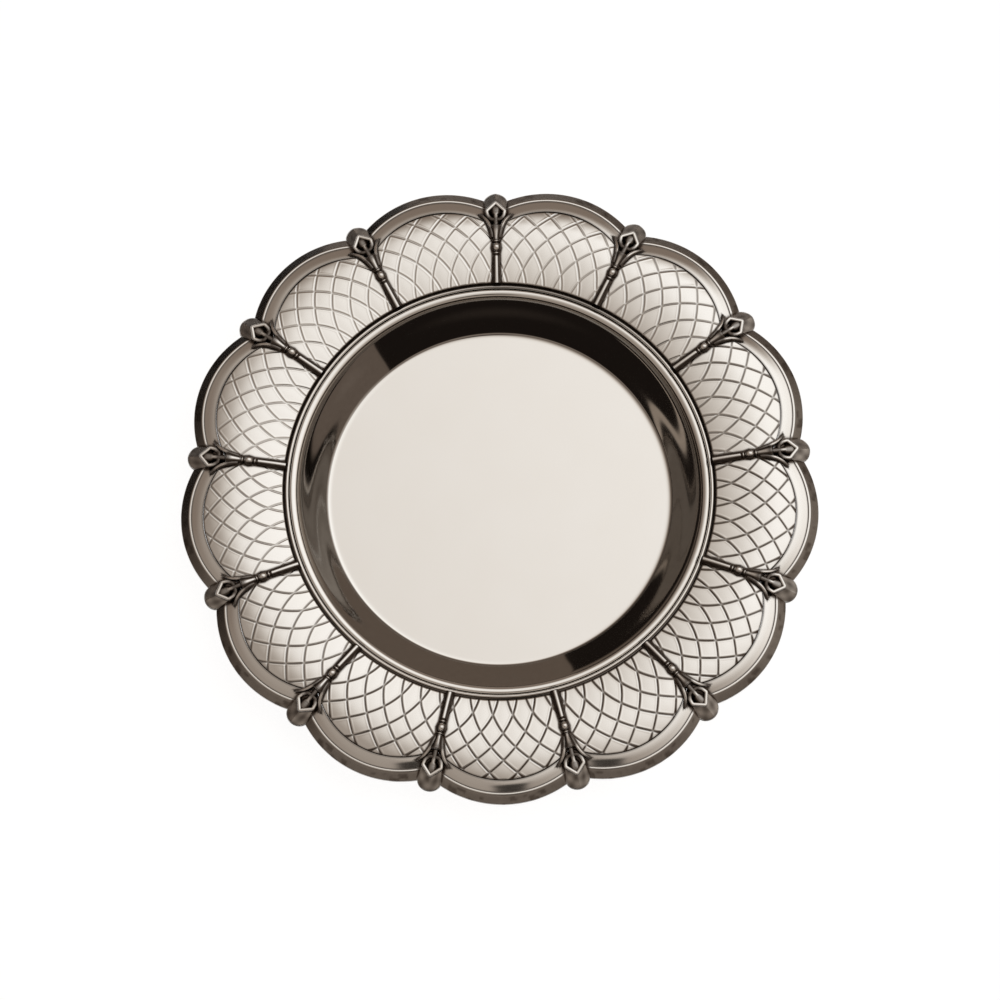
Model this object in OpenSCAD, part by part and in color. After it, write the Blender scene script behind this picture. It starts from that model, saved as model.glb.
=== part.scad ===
// Saucer for a kiddush cup, in polished silver: a plain round well inside a border of thirteen
// lobes, with a cast tassel rib between each two lobes and a bevelled, scalloped edge.
// Millimetres, +Z up. The origin is the middle of the well's underside, and rib 1 lies on +Y.

/* [Outline] */
// Number of lobes, and so of ribs
lobe_count = 13; // [12:1:14]
// Radius of the saucer at the crest of a lobe
crest_r = 65.2; // [64:0.1:67]
// Radius of the arc that edges one lobe
scallop_r = 22; // [21:0.5:23]

/* [Well] */
// Radius of the flat floor that the cup stands on
floor_r = 35.1; // [33:0.1:36.5]
// Radius of the well at its mouth
mouth_r = 41.2; // [40.5:0.1:41.8]
// Depth of the well, from its floor to the seat of the bead
well_depth = 6.8; // [5:0.1:9]
// Inside radius of the bend between floor and wall
bend_r = 0.8; // [0.3:0.1:1.5]
// Thickness of the silver sheet
sheet_t = 0.7; // [0.5:0.05:0.9]

/* [Rings round the mouth] */
// Width of the half-round bead
bead_w = 1.7; // [1.4:0.1:2]
// Height of the half-round bead
bead_h = 0.65; // [0.5:0.05:0.8]
// Diameter of the thin wire outside the bead
wire_d = 0.72; // [0.5:0.02:0.9]
// Width of the dark line between the thin wire and the border
shadow_w = 0.24; // [0.15:0.01:0.4]
// How far the border laps over the flange of the well
lap_w = 0.9; // [0.6:0.1:1.2]

/* [Border] */
// Rise of the border from its inner edge to its highest ring
border_rise = 0.9; // [0.6:0.05:1.2]

/* [Edge mouldings] */
// Width of the plain band next to the border
band_w = 2.1; // [1.8:0.1:2.4]
// Fall of the plain band
band_drop = 0.55; // [0.3:0.05:0.8]
// Width of the fine ridge between band and bevel
ridge_w = 0.5; // [0.3:0.05:0.7]
// Height of the ridge above the band
ridge_h = 0.15; // [0.1:0.05:0.3]
// Width of the bevel
bevel_w = 2; // [1.6:0.1:2.4]
// Fall of the bevel
bevel_drop = 1.3; // [1:0.1:1.6]
// Height of the upright lip below the bevel
lip_h = 0.6; // [0.4:0.1:0.9]

/* [Ribs] */
// Length of the rod
rod_l = 5.9; // [5:0.1:6.5]
// Diameter of the rod at the ring
rod_d = 1.8; // [1.4:0.1:2.2]
// Diameter of the rod at the ball
rod_thin_d = 1.55; // [1.3:0.05:1.8]
// Diameter of the ball
ball_d = 2.1; // [1.7:0.1:2.5]
// Diameter of the necks on both sides of the ball
neck_d = 1.4; // [1.1:0.05:1.6]
// Length of each neck
neck_l = 0.4; // [0.3:0.05:0.6]
// Length of the calyx
calyx_l = 3.2; // [2.8:0.1:3.6]
// Width of the calyx at the ball
calyx_root_d = 1.8; // [1.7:0.05:2]
// Width of the calyx at its mouth
calyx_d = 3.2; // [2.6:0.1:3.6]
// Diameter of the stem inside the loop
stem_d = 1; // [0.8:0.05:1.2]
// Diameter of the bud that ends the stem
bud_d = 1.5; // [1.2:0.1:1.7]
// Distance of the bud from the foot of the loop
bud_pos = 2.1; // [1.8:0.1:2.4]
// Length of a leaf past the mouth of the calyx
leaf_l = 3.2; // [2.6:0.1:3.6]
// Distance of a leaf's tip from the middle of the rib
leaf_reach = 3.7; // [3.2:0.1:4.2]
// Radius of a leaf's curve
leaf_bend = 9; // [7:0.5:14]
// Width of a leaf
leaf_w = 0.75; // [0.6:0.05:0.9]
// Height of the leaves and of the loop
leaf_h = 0.75; // [0.5:0.05:1]
// Length of the five-sided loop
loop_l = 4.1; // [3.6:0.1:4.5]
// Width of the loop
loop_w = 4.3; // [3.8:0.1:4.8]
// Width of the loop's band
loop_band = 0.6; // [0.5:0.05:0.75]
// Radius of the hood that ends the rib at the edge
hood_r = 3.05; // [2.7:0.05:3.4]
// Length of the hood, from the tip of the loop to the tip of the rib
hood_l = 2.55; // [2.3:0.05:2.8]
// How far the hood stands out past the meeting of two scallops
hood_out = 2.7; // [2.4:0.1:3]

/* [Fits] */
// Room left for solder where two pieces meet
solder = 0.05; // [0.03:0.01:0.1]
// How deep the round lengths of a rib sink into its flat back
round_sink = 0.3; // [0.2:0.05:0.4]

/* [Hidden] */
pitch = 360 / lobe_count;
lobe_r = crest_r - scallop_r;

// Heights and radii of the rings round the mouth
seat_z = sheet_t + well_depth;
wall_angle = atan2(well_depth, mouth_r - floor_r);
bead_arc = (pow(bead_w / 2, 2) + pow(bead_h, 2)) / (2 * bead_h);
wire_mid = mouth_r + bead_w + solder + wire_d / 2;
border_in = wire_mid + wire_d / 2 + shadow_w;
flange_out = border_in + lap_w;

// The edge moulding's stations, by radius from the middle of its scallop
bevel_r = scallop_r - bevel_w;
ridge_r = bevel_r - ridge_w;
frame_r = ridge_r - band_w;

// The border is a flat arc turned about the axis, as high at the crest's bevel as at its inner edge
border_z = seat_z + solder + sheet_t;
arc_out = lobe_r + ridge_r;
arc_mid = (border_in + arc_out) / 2;
arc_half = (arc_out - border_in) / 2;
arc_r = (pow(arc_half, 2) + pow(border_rise, 2)) / (2 * border_rise);
arc_z = border_z + border_rise - arc_r;
function sheet_z(r) = arc_z + sqrt(pow(arc_r, 2) - pow(r - arc_mid, 2));

// Heights of the edge moulding
frame_z = sheet_z(lobe_r + frame_r);
band_z = frame_z - band_drop;
ridge_z = band_z + ridge_h;
edge_z = ridge_z - bevel_drop;
lip_z = edge_z - lip_h;

// Where two arcs of radius r about neighbouring lobes meet, measured along the rib
function meeting(r) = lobe_r * cos(pitch / 2) + sqrt(r * r - pow(lobe_r * sin(pitch / 2), 2));

// Stations of one rib, measured from the axis
rod_end = border_in + rod_l;
ball_at = rod_end + neck_l + ball_d / 2;
calyx_in = ball_at + ball_d / 2 + neck_l;
calyx_out = calyx_in + calyx_l;
leaf_tip = calyx_out + leaf_l;
rib_tip = meeting(scallop_r) + hood_out;
loop_apex = rib_tip - hood_l;
loop_foot = loop_apex - loop_l;
bud_at = loop_foot + bud_pos;

function numbered(name, i) = str(name, i < 10 ? "_0" : "_", i);
$fn = 96;

// Points of an arc about c, from angle a to angle b
function arc_points(c, r, a, b, steps) =
    [for (i = [0:steps]) let (t = a + (b - a) * i / steps) c + r * [cos(t), sin(t)]];

// The pan is spun from one sheet: flat floor, sloping wall and a narrow flange round the mouth
module well_pan() {
    bend_c = [floor_r - bend_r * tan(wall_angle / 2), sheet_t + bend_r];
    under = arc_points(bend_c, bend_r + sheet_t, -90, wall_angle - 90, 6);
    upper = arc_points(bend_c, bend_r, wall_angle - 90, -90, 6);
    brim = mouth_r + sheet_t * tan(wall_angle / 2);
    color("silver") rotate_extrude() polygon(concat(
        [[0, 0]], under,
        [[brim, well_depth], [flange_out, well_depth], [flange_out, seat_z], [mouth_r, seat_z]],
        upper, [[0, sheet_t]]));
}

// Half-round wire, soldered flat on the flange at the very mouth of the well
module well_bead() {
    color("gainsboro") rotate_extrude() translate([mouth_r + bead_w / 2, seat_z]) intersection() {
        translate([0, bead_h - bead_arc]) circle(bead_arc);
        translate([-bead_w / 2, 0]) square([bead_w, bead_h]);
    }
}

// Thin round wire, laid between the bead and the border
module thin_wire() {
    color("gainsboro") rotate_extrude() translate([wire_mid, seat_z + solder + wire_d / 2]) circle(d = wire_d);
}

// The border is one pressed sheet with thirteen rounded lobes, lapped on the flange of the well
module border() {
    reach = arc_out - border_in;
    color("whitesmoke") intersection() {
        rotate_extrude() intersection() {
            translate([arc_mid, arc_z]) difference() {
                circle(arc_r, $fn = 360);
                circle(arc_r - sheet_t, $fn = 360);
            }
            translate([border_in, seat_z]) square([reach, border_rise + 2 * sheet_t]);
        }
        linear_extrude(2 * border_z) for (i = [1:lobe_count])
            rotate((i - 0.5) * pitch) translate([0, lobe_r]) circle(frame_r - solder);
    }
}

// The moulding's section: band, ridge, bevel and lip, as thick as the sheet
module edge_section() {
    polygon([[frame_r, frame_z], [ridge_r, band_z], [ridge_r, ridge_z], [bevel_r, ridge_z],
        [scallop_r, edge_z], [scallop_r, lip_z], [scallop_r - sheet_t, lip_z],
        [scallop_r - sheet_t, edge_z - sheet_t / 2], [bevel_r, ridge_z - ridge_h - sheet_t],
        [frame_r, frame_z - sheet_t]]);
}

// One length of edge moulding, bent round its lobe and mitred to the next one at each rib
module edge(i) {
    side = lobe_r * tan(pitch / 2) - solder;
    far = crest_r + 1;
    far_side = side + (far - lobe_r) * tan(pitch / 2);
    color("dimgray") rotate((i - 0.5) * pitch) intersection() {
        translate([0, lobe_r, 0]) rotate_extrude() edge_section();
        linear_extrude(2 * border_z)
            polygon([[-side, lobe_r], [side, lobe_r], [far_side, far], [-far_side, far]]);
    }
}

// Lays a child on the border between two stations of a rib, with +Y along the rib
module on_border(from, to) {
    bulge = pow(to - from, 2) / (8 * arc_r);
    translate([0, from, sheet_z(from) + bulge + solder])
        rotate([atan2(sheet_z(to) - sheet_z(from), to - from), 0, 0]) children();
}

// A turned length of rib, flat below
module turned(length, d1, d2) {
    wide = max(d1, d2);
    intersection() {
        translate([0, 0, round_sink]) rotate([-90, 0, 0]) cylinder(h = length, d1 = d1, d2 = d2);
        translate([-wide, 0, 0]) cube([2 * wide, length, 2 * wide]);
    }
}

// A ball, flat below
module half_ball(d) {
    intersection() {
        translate([0, 0, round_sink]) sphere(d = d);
        translate([-d, -d, 0]) cube(2 * d);
    }
}

// A leaf, curving away from the mouth of the calyx to its tip
module leaf() {
    root = [neck_d / 2, calyx_out - neck_d / 2];
    tip = [leaf_reach, leaf_tip];
    half = norm(tip - root) / 2;
    across = [tip.y - root.y, root.x - tip.x] / (2 * half);
    middle = (root + tip) / 2 + across * sqrt(leaf_bend * leaf_bend - half * half);
    on_border(root.y, tip.y) linear_extrude(leaf_h) translate([0, -root.y]) intersection() {
        translate(middle) difference() {
            circle(leaf_bend + leaf_w / 2);
            circle(leaf_bend - leaf_w / 2);
        }
        translate([0, root.y]) square([leaf_reach + leaf_w, tip.y - root.y]);
    }
}

// Outline of the five-sided loop, drawn in by inset
module loop_outline(inset) {
    side = loop_w / 2 - inset;
    low = 0.8 * side;
    polygon([[0, inset], [low, 0.22 * loop_l + inset / 2], [side, 0.68 * loop_l - inset / 3],
        [0, loop_l - 1.3 * inset], [-side, 0.68 * loop_l - inset / 3], [-low, 0.22 * loop_l + inset / 2]]);
}

// The loop stands round the bud, level with the mouth of the calyx
module rib_loop() {
    translate([0, loop_foot, sheet_z(loop_foot) + solder]) rotate([-5, 0, 0]) linear_extrude(leaf_h)
        difference() {
            loop_outline(0);
            loop_outline(loop_band);
        }
}

// Room that two edge mouldings take up, with solder round them
module edge_room() {
    for (side = [-0.5, 0.5]) rotate(side * pitch) translate([0, lobe_r, 0]) rotate_extrude()
        polygon([[0, lip_z - sheet_t], [scallop_r + solder, lip_z - sheet_t],
            [scallop_r + solder, edge_z + solder], [bevel_r + solder, ridge_z + solder],
            [0, ridge_z + solder]]);
}

// The hood fills the corner between two scallops and slopes down to the tip
module hood() {
    top_z = sheet_z(loop_foot) + leaf_h / 3;
    inner = loop_apex - 1.3 * loop_band;
    difference() {
        intersection() {
            translate([0, rib_tip - hood_r, 0]) rotate_extrude() polygon([[0, lip_z], [hood_r, lip_z],
                [hood_r, edge_z], [hood_r * 0.3, top_z], [0, top_z]]);
            translate([-hood_r, inner, 0]) cube([2 * hood_r, rib_tip, 2 * border_z]);
        }
        edge_room();
    }
}

// One rib, cast in one piece: rod, ball, calyx, leaves, stem, bud, loop and hood
module rib(i) {
    join = neck_l / 4;
    color("dimgray") rotate((i - 1) * pitch) {
        on_border(border_in, rod_end) turned(rod_l, rod_d, rod_thin_d);
        on_border(rod_end - join, calyx_in + join) turned(calyx_in - rod_end + 2 * join, neck_d, neck_d);
        on_border(ball_at, ball_at + join) half_ball(ball_d);
        on_border(calyx_in, calyx_out) turned(calyx_l, calyx_root_d, calyx_d);
        on_border(calyx_out - join, bud_at) turned(bud_at - calyx_out + join, stem_d, stem_d);
        on_border(bud_at, bud_at + join) half_ball(bud_d);
        leaf();
        mirror([1, 0, 0]) leaf();
        rib_loop();
        hood();
    }
}

well_pan();
well_bead();
thin_wire();
border();
for (i = [1:lobe_count]) {
    edge(i);
    rib(i);
}
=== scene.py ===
import bpy
import numpy as np
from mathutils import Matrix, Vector


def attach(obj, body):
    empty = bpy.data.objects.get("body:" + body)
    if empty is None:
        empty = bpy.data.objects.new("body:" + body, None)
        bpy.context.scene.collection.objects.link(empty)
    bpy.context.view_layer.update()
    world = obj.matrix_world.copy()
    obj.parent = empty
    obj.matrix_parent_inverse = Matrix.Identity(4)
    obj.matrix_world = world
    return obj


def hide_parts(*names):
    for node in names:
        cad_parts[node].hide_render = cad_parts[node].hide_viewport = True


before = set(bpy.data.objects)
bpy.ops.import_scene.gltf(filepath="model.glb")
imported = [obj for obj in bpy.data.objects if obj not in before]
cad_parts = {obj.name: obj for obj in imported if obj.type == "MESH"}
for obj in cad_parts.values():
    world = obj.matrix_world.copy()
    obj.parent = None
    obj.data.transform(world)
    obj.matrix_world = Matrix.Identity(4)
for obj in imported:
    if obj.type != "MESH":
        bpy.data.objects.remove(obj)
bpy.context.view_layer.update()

# The well pan
# The round pan in the middle of the saucer, spun from one silver sheet over a chuck: a flat polished
# floor, a sloping wall and a narrow flange round the mouth, on which every other piece is soldered.
MM = 0.001
SHEET = 0.7
FLOOR_R = 35.1
MOUTH_R = 41.2
WELL_DEPTH = 6.8
SEAT_Z = SHEET + WELL_DEPTH
FLANGE_OUT = 44.81
FLANGE_ROUND = 0.1
FLOOR_RINGS = np.array([33.9, 33.0, 30.0, 22.0, 12.0, 4.0])
BEND_FROM = 34.0
BEND_TO = 35.62
BEND_POWER = 2.9
BEND_STEPS = 26
UNDER_BEND = 0.8
UNDER_STEPS = 14
MOUTH_BEND = 0.18
MOUTH_DRAFT = 0.01
MOUTH_STEPS = 8
WALL_TOP = MOUTH_R - 0.03
WALL_SLOPE = 46.05
WALL_WAVE = 0.8
WAVE_CREST = 0.4
WAVE_LONG = 0.75
WALL_CURL = 10.0
CURL_LONG = 0.2
CURL_POWER = 1.5
WALL_STEPS = 72
WALL_SHARES = np.array([0.02, 0.1, 0.3, 0.5, 0.7, 0.9, 0.98])[:, None]
ROUND_STEPS = 440
WALL_PAINTED_DARK = 0.62
WALL_DARK_FROM = 35.1
WALL_DARK_FULL = 35.27
LIP_DULL = 0.72
SILVER_PALE = (0.955, 0.93, 0.892, 1.0)
SILVER_WARM = (0.925, 0.892, 0.842, 1.0)
OXIDE_BROWN = (0.052, 0.032, 0.020, 1.0)
CLOUD_SCALE = 85.0
FLECK_SCALE = 900.0
FLECK_LOW = 0.3
FLECK_HIGH = 0.7
FLECK_LOSS = 0.93
GLOSS_DRIFT = 0.035
GRAIN_TURN = (0.0, 0.0, 0.6)
GRAIN_SCALE = (260.0, 3200.0, 900.0)
GRAIN_DEPTH = 0.000004


def fade(value, none_at, full_at):
    """0 at one value and 1 at another, straight between them and held beyond."""
    return np.clip((value - none_at) / (full_at - none_at), 0, 1)


def corner_curve(start, corner, end, t):
    """Points at shares t of a quadratic curve that leaves start and meets end along a corner's two sides."""
    return (1 - t) ** 2 * start + 2 * t * (1 - t) * corner + t ** 2 * end


def leaning_profile(r, lean, foot_z):
    """Points (r, z) of a profile with its own lean at each radius, down to foot_z at its last point.

    Each step falls by its width times the mean tangent of the lean at its two ends.
    """
    fall = -np.diff(r) * (np.tan(lean[1:]) + np.tan(lean[:-1])) / 2
    return np.stack([r, foot_z + np.append(np.cumsum(fall[::-1])[::-1], 0.0)], axis=-1)


def grid_faces(across, along, wrap_across, wrap_along):
    """Four-sided faces of a grid of points numbered row by row, across first, joined up where it wraps."""
    i, j = np.meshgrid(np.arange(across - (not wrap_across)), np.arange(along - (not wrap_along)))
    i_next = (i + 1) % across
    j_next = (j + 1) % along
    corners = [j * across + i, j * across + i_next, j_next * across + i_next, j_next * across + i]
    return np.stack(corners, axis=-1).reshape(-1, 4)


def closed_ends(rows, across):
    """Faces of a tube of rows, each a ring of points, closed by one further point at either end.

    They come as three blocks of corner numbers: the tube, then the three-sided faces of each end.
    """
    i = np.arange(across)
    i_next = (i + 1) % across
    last_row = (rows - 1) * across
    first_tip = np.full(across, rows * across)
    start = np.stack([first_tip, i_next, i], axis=-1)
    end = np.stack([last_row + i, last_row + i_next, first_tip + 1], axis=-1)
    return [grid_faces(across, rows, True, False), start, end]


def turned(section, steps):
    """A section turned about the axis: point (r, z) becomes (r cos a, r sin a, z) at every angle a."""
    a = np.linspace(0.0, 2 * np.pi, steps, endpoint=False)
    r, z = section[:, 0, None], section[:, 1, None]
    return np.stack([r * np.cos(a), r * np.sin(a), z + 0 * a], axis=-1).reshape(-1, 3)


def feed(tree, socket, value):
    """Sets a node's input: by a link if the value is another node's output, or else as it is."""
    if isinstance(value, bpy.types.NodeSocket):
        tree.links.new(value, socket)
    else:
        socket.default_value = value


def reckon(tree, operation, *values):
    """One step of node arithmetic, on other nodes' outputs and plain numbers."""
    node = tree.nodes.new("ShaderNodeMath")
    node.operation = operation
    for place, value in enumerate(values):
        feed(tree, node.inputs[place], value)
    return node.outputs["Value"]


def ramp(tree, value, low, high, to_low=0.0, to_high=1.0, shape="LINEAR"):
    """A value brought from the range low to high into another range, and held at its two ends."""
    node = tree.nodes.new("ShaderNodeMapRange")
    node.interpolation_type = shape
    node.inputs["From Min"].default_value = low
    node.inputs["From Max"].default_value = high
    node.inputs["To Min"].default_value = to_low
    node.inputs["To Max"].default_value = to_high
    feed(tree, node.inputs["Value"], value)
    return node.outputs["Result"]


def blend(tree, share, first, second):
    """A colour that goes from the first to the second as the share goes from 0 to 1."""
    node = tree.nodes.new("ShaderNodeMix")
    node.data_type = "RGBA"
    feed(tree, node.inputs["Factor"], share)
    feed(tree, node.inputs["A"], first)
    feed(tree, node.inputs["B"], second)
    return node.outputs["Result"]


def noise(tree, place, scale, detail):
    """A soft random pattern on the given coordinates, from 0 to 1."""
    node = tree.nodes.new("ShaderNodeTexNoise")
    node.inputs["Scale"].default_value = scale
    node.inputs["Detail"].default_value = detail
    feed(tree, node.inputs["Vector"], place)
    return node.outputs["Fac"]


def silver_finish(name, gloss, gloss_dull, dark_cover, grain_strength=0.25):
    """Polished silver with tarnish and painted shade.

    Colour drifts between two silvers on a soft cloud of noise. Where the tarnish_and_shade attribute is high
    it goes to brown oxide and the gloss dulls; that attribute holds oxide and also painted shade. A fine
    noise, drawn out one way, is the polishing grain.
    """
    material = bpy.data.materials.new(name)
    material.use_nodes = True
    tree = material.node_tree
    place = tree.nodes.new("ShaderNodeTexCoord").outputs["Object"]
    cloud = noise(tree, place, CLOUD_SCALE, 5.0)
    fleck = noise(tree, place, FLECK_SCALE, 3.0)
    tarnish_and_shade = tree.nodes.new("ShaderNodeAttribute")
    tarnish_and_shade.attribute_name = "tarnish_and_shade"
    patchy = ramp(tree, fleck, FLECK_LOW, FLECK_HIGH, dark_cover * FLECK_LOSS, dark_cover)
    cover = reckon(tree, "MULTIPLY", tarnish_and_shade.outputs["Fac"], patchy)
    tone = blend(tree, cloud, SILVER_WARM, SILVER_PALE)
    gloss_range = ramp(tree, cover, 0.0, 1.0, gloss, gloss_dull)
    drawn_out = tree.nodes.new("ShaderNodeMapping")
    drawn_out.inputs["Rotation"].default_value = GRAIN_TURN
    drawn_out.inputs["Scale"].default_value = GRAIN_SCALE
    feed(tree, drawn_out.inputs["Vector"], place)
    bump = tree.nodes.new("ShaderNodeBump")
    bump.inputs["Strength"].default_value = grain_strength
    bump.inputs["Distance"].default_value = GRAIN_DEPTH
    feed(tree, bump.inputs["Height"], noise(tree, drawn_out.outputs["Vector"], 1.0, 2.0))
    shader = tree.nodes["Principled BSDF"]
    shader.inputs["Metallic"].default_value = 1.0
    feed(tree, shader.inputs["Base Color"], blend(tree, cover, tone, OXIDE_BROWN))
    feed(tree, shader.inputs["Roughness"], reckon(tree, "MULTIPLY_ADD", cloud, GLOSS_DRIFT, gloss_range))
    feed(tree, shader.inputs["Normal"], bump.outputs["Normal"])
    return material


def add_piece(name, points, faces, tarnish_and_shade, material, node, crease=50.0):
    """A piece of the saucer, smooth but for edges sharper than crease degrees.

    Points are in millimetres. Faces come as blocks, each an array with a row of corner numbers per face.
    """
    mesh = bpy.data.meshes.new(name)
    mesh.from_pydata((points * MM).tolist(), [], [row for block in faces for row in block.tolist()])
    shown = mesh.attributes.new("tarnish_and_shade", "FLOAT", "POINT")
    shown.data.foreach_set("value", np.ascontiguousarray(tarnish_and_shade, dtype=np.float32))
    mesh.polygons.foreach_set("use_smooth", np.ones(len(mesh.polygons), dtype=bool))
    mesh.set_sharp_from_angle(angle=np.radians(crease))
    mesh.materials.append(material)
    mesh.update()
    piece = bpy.data.objects.new(name, mesh)
    bpy.context.scene.collection.objects.link(piece)
    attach(piece, "root")
    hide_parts(node)
    return piece


# Upper side: the wall waves a little and curls at the mouth, and the floor turns up slowly, then fast.
wall_down = np.linspace(0.0, 1.0, WALL_STEPS)
wall_wave = WALL_WAVE * np.cos(2 * np.pi * (wall_down - WAVE_CREST) / WAVE_LONG)
wall_curl = WALL_CURL * fade(wall_down, CURL_LONG, 0.0) ** CURL_POWER
wall_lean = np.radians(WALL_SLOPE - wall_wave + wall_curl)
bend_r = np.linspace(BEND_TO, BEND_FROM, BEND_STEPS)
bend_lean = wall_lean[-1] * ((bend_r - BEND_FROM) / (BEND_TO - BEND_FROM)) ** BEND_POWER
bend_upper = leaning_profile(bend_r, bend_lean, SHEET)
wall_r = WALL_TOP + (BEND_TO - WALL_TOP) * wall_down
wall_upper = leaning_profile(wall_r, wall_lean, bend_upper[0, 1])[:-1]
floor_upper = np.stack([FLOOR_RINGS, np.full_like(FLOOR_RINGS, SHEET)], axis=-1)
mouth_corner = np.array([[MOUTH_R + MOUTH_BEND, SEAT_Z], [MOUTH_R, SEAT_Z],
                         [MOUTH_R - MOUTH_DRAFT, SEAT_Z - MOUTH_BEND]])
mouth_curve = corner_curve(*mouth_corner, np.linspace(0, 1, MOUTH_STEPS)[:, None])

# Underside: straight cone and round bend, with the flange's rounded rim.
under_slope = np.arctan2(WELL_DEPTH, MOUTH_R - FLOOR_R)
under_turn = np.linspace(-np.pi / 2, under_slope - np.pi / 2, UNDER_STEPS)
under_mid = FLOOR_R - UNDER_BEND * np.tan(under_slope / 2)
under_bend = UNDER_BEND + SHEET
bend_under = np.stack([under_mid + under_bend * np.cos(under_turn),
                       under_bend * (1 + np.sin(under_turn))], axis=-1)
brim = MOUTH_R + SHEET * np.tan(under_slope / 2)
wall_under = bend_under[-1] * (1 - WALL_SHARES) + np.array([brim, WELL_DEPTH]) * WALL_SHARES
floor_under = np.stack([FLOOR_RINGS[::-1], np.zeros_like(FLOOR_RINGS)], axis=-1)
flange = np.array([
    [brim, WELL_DEPTH], [brim + 0.3, WELL_DEPTH],
    [FLANGE_OUT - FLANGE_ROUND, WELL_DEPTH], [FLANGE_OUT, WELL_DEPTH + FLANGE_ROUND],
    [FLANGE_OUT, SEAT_Z - FLANGE_ROUND], [FLANGE_OUT - FLANGE_ROUND, SEAT_Z], [MOUTH_R + 0.5, SEAT_Z]])
pan_section = np.concatenate([floor_under, bend_under, wall_under, flange,
                              mouth_curve, wall_upper, bend_upper, floor_upper])
pan_points = np.concatenate([turned(pan_section, ROUND_STEPS), [[0, 0, 0], [0, 0, SHEET]]])
pan_faces = closed_ends(len(pan_section), ROUND_STEPS)
pan_r = np.hypot(pan_points[:, 0], pan_points[:, 1])
on_flange = np.interp(pan_r, [MOUTH_R - 0.1, MOUTH_R, MOUTH_R + 0.5], [0.0, LIP_DULL, 1.0])
on_flange *= pan_points[:, 2] > WELL_DEPTH + 0.3
# Painted shade: the sloping wall is darkened from just past the floor's bend up to the mouth, standing for
# the dark room that the steep wall reflects.
on_wall = WALL_PAINTED_DARK * fade(pan_r, WALL_DARK_FROM, WALL_DARK_FULL)
on_wall *= (pan_r < MOUTH_R) & (pan_points[:, 2] > SHEET + 0.02)
pan_tarnish_and_shade = np.maximum(on_flange, on_wall)
pan_silver = silver_finish("pan_silver", 0.03, 0.04, 0.9, 0.03)
add_piece("spun_pan", pan_points, pan_faces, pan_tarnish_and_shade, pan_silver, "well_pan")

# The bead at the mouth
# A half-round silver wire, bent to a ring and soldered flat on the flange right at the mouth of the
# well, then buffed, which has left its crest nearer the outer side and its two feet dark with oxide.
# Its lower flanks are also darkened as painted shade, which narrows the highlight on its crest.
BEAD_OUT = 42.9
BEAD_CREST = 42.32
BEAD_H = 0.65
BEAD_SINK = 0.04
BEAD_FOOT_IN = 0.05
BEAD_STEPS = 41
BEAD_DARK_BELOW = 0.44
BEAD_DARK_FULL = 0.28
RING_CREASE = 80.0

ring_silver = silver_finish("ring_silver", 0.045, 0.2, 0.98, 0.1)
bead_turn = np.linspace(0.0, np.pi, BEAD_STEPS)
bead_half = np.where(bead_turn < np.pi / 2, BEAD_OUT - BEAD_CREST, BEAD_CREST - MOUTH_R)
bead_top = np.stack([BEAD_CREST + bead_half * np.cos(bead_turn),
                     SEAT_Z + BEAD_H * np.sin(bead_turn)], axis=-1)
bead_foot = np.array([[MOUTH_R + BEAD_FOOT_IN, SEAT_Z - BEAD_SINK],
                      [BEAD_OUT - BEAD_FOOT_IN, SEAT_Z - BEAD_SINK]])
bead_section = np.concatenate([bead_top, bead_foot])
bead_points = turned(bead_section, ROUND_STEPS)
bead_faces = [grid_faces(ROUND_STEPS, len(bead_section), True, True)]
# The bead darkens from a height down to its feet: oxide at the feet, and painted shade on the flanks that
# narrows the crest's highlight.
bead_tarnish_and_shade = fade(bead_points[:, 2], SEAT_Z + BEAD_DARK_BELOW, SEAT_Z + BEAD_DARK_FULL)
add_piece("mouth_bead", bead_points, bead_faces, bead_tarnish_and_shade, ring_silver,
          "well_bead", RING_CREASE)

# The thin wire
# A thin round silver wire laid between the bead and the border, with a dark line of old polish and
# tarnish left in the two narrow grooves beside it, and one stretch at the back painted in shade.
WIRE_D = 0.72
WIRE_MID = 43.31
WIRE_STEPS = 28
WIRE_DARK_BELOW = 0.62
WIRE_DARK_FULL = 0.48
WIRE_PAINTED_SHADE = 0.62
SHADE_AT = 74.0
SHADE_FULL = 13.0
SHADE_END = 39.0
SOLDER = 0.05

wire_turn = np.linspace(0.0, 2 * np.pi, WIRE_STEPS, endpoint=False)
wire_section = np.stack([WIRE_MID + WIRE_D / 2 * np.cos(wire_turn),
                         SEAT_Z + SOLDER + WIRE_D / 2 + WIRE_D / 2 * np.sin(wire_turn)], axis=-1)
wire_points = turned(wire_section, ROUND_STEPS)
wire_faces = [grid_faces(ROUND_STEPS, WIRE_STEPS, True, True)]
wire_foot = fade(wire_points[:, 2], SEAT_Z + WIRE_DARK_BELOW, SEAT_Z + WIRE_DARK_FULL)
# Painted shade: one stretch of the wire at the back is darkened, fading out at either end.
wire_angle = np.degrees(np.arctan2(wire_points[:, 1], wire_points[:, 0]))
wire_painted_shade = WIRE_PAINTED_SHADE * fade(np.abs(wire_angle - SHADE_AT), SHADE_END, SHADE_FULL)
add_piece("fine_wire", wire_points, wire_faces, np.maximum(wire_foot, wire_painted_shade), ring_silver,
          "thin_wire", RING_CREASE)

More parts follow.
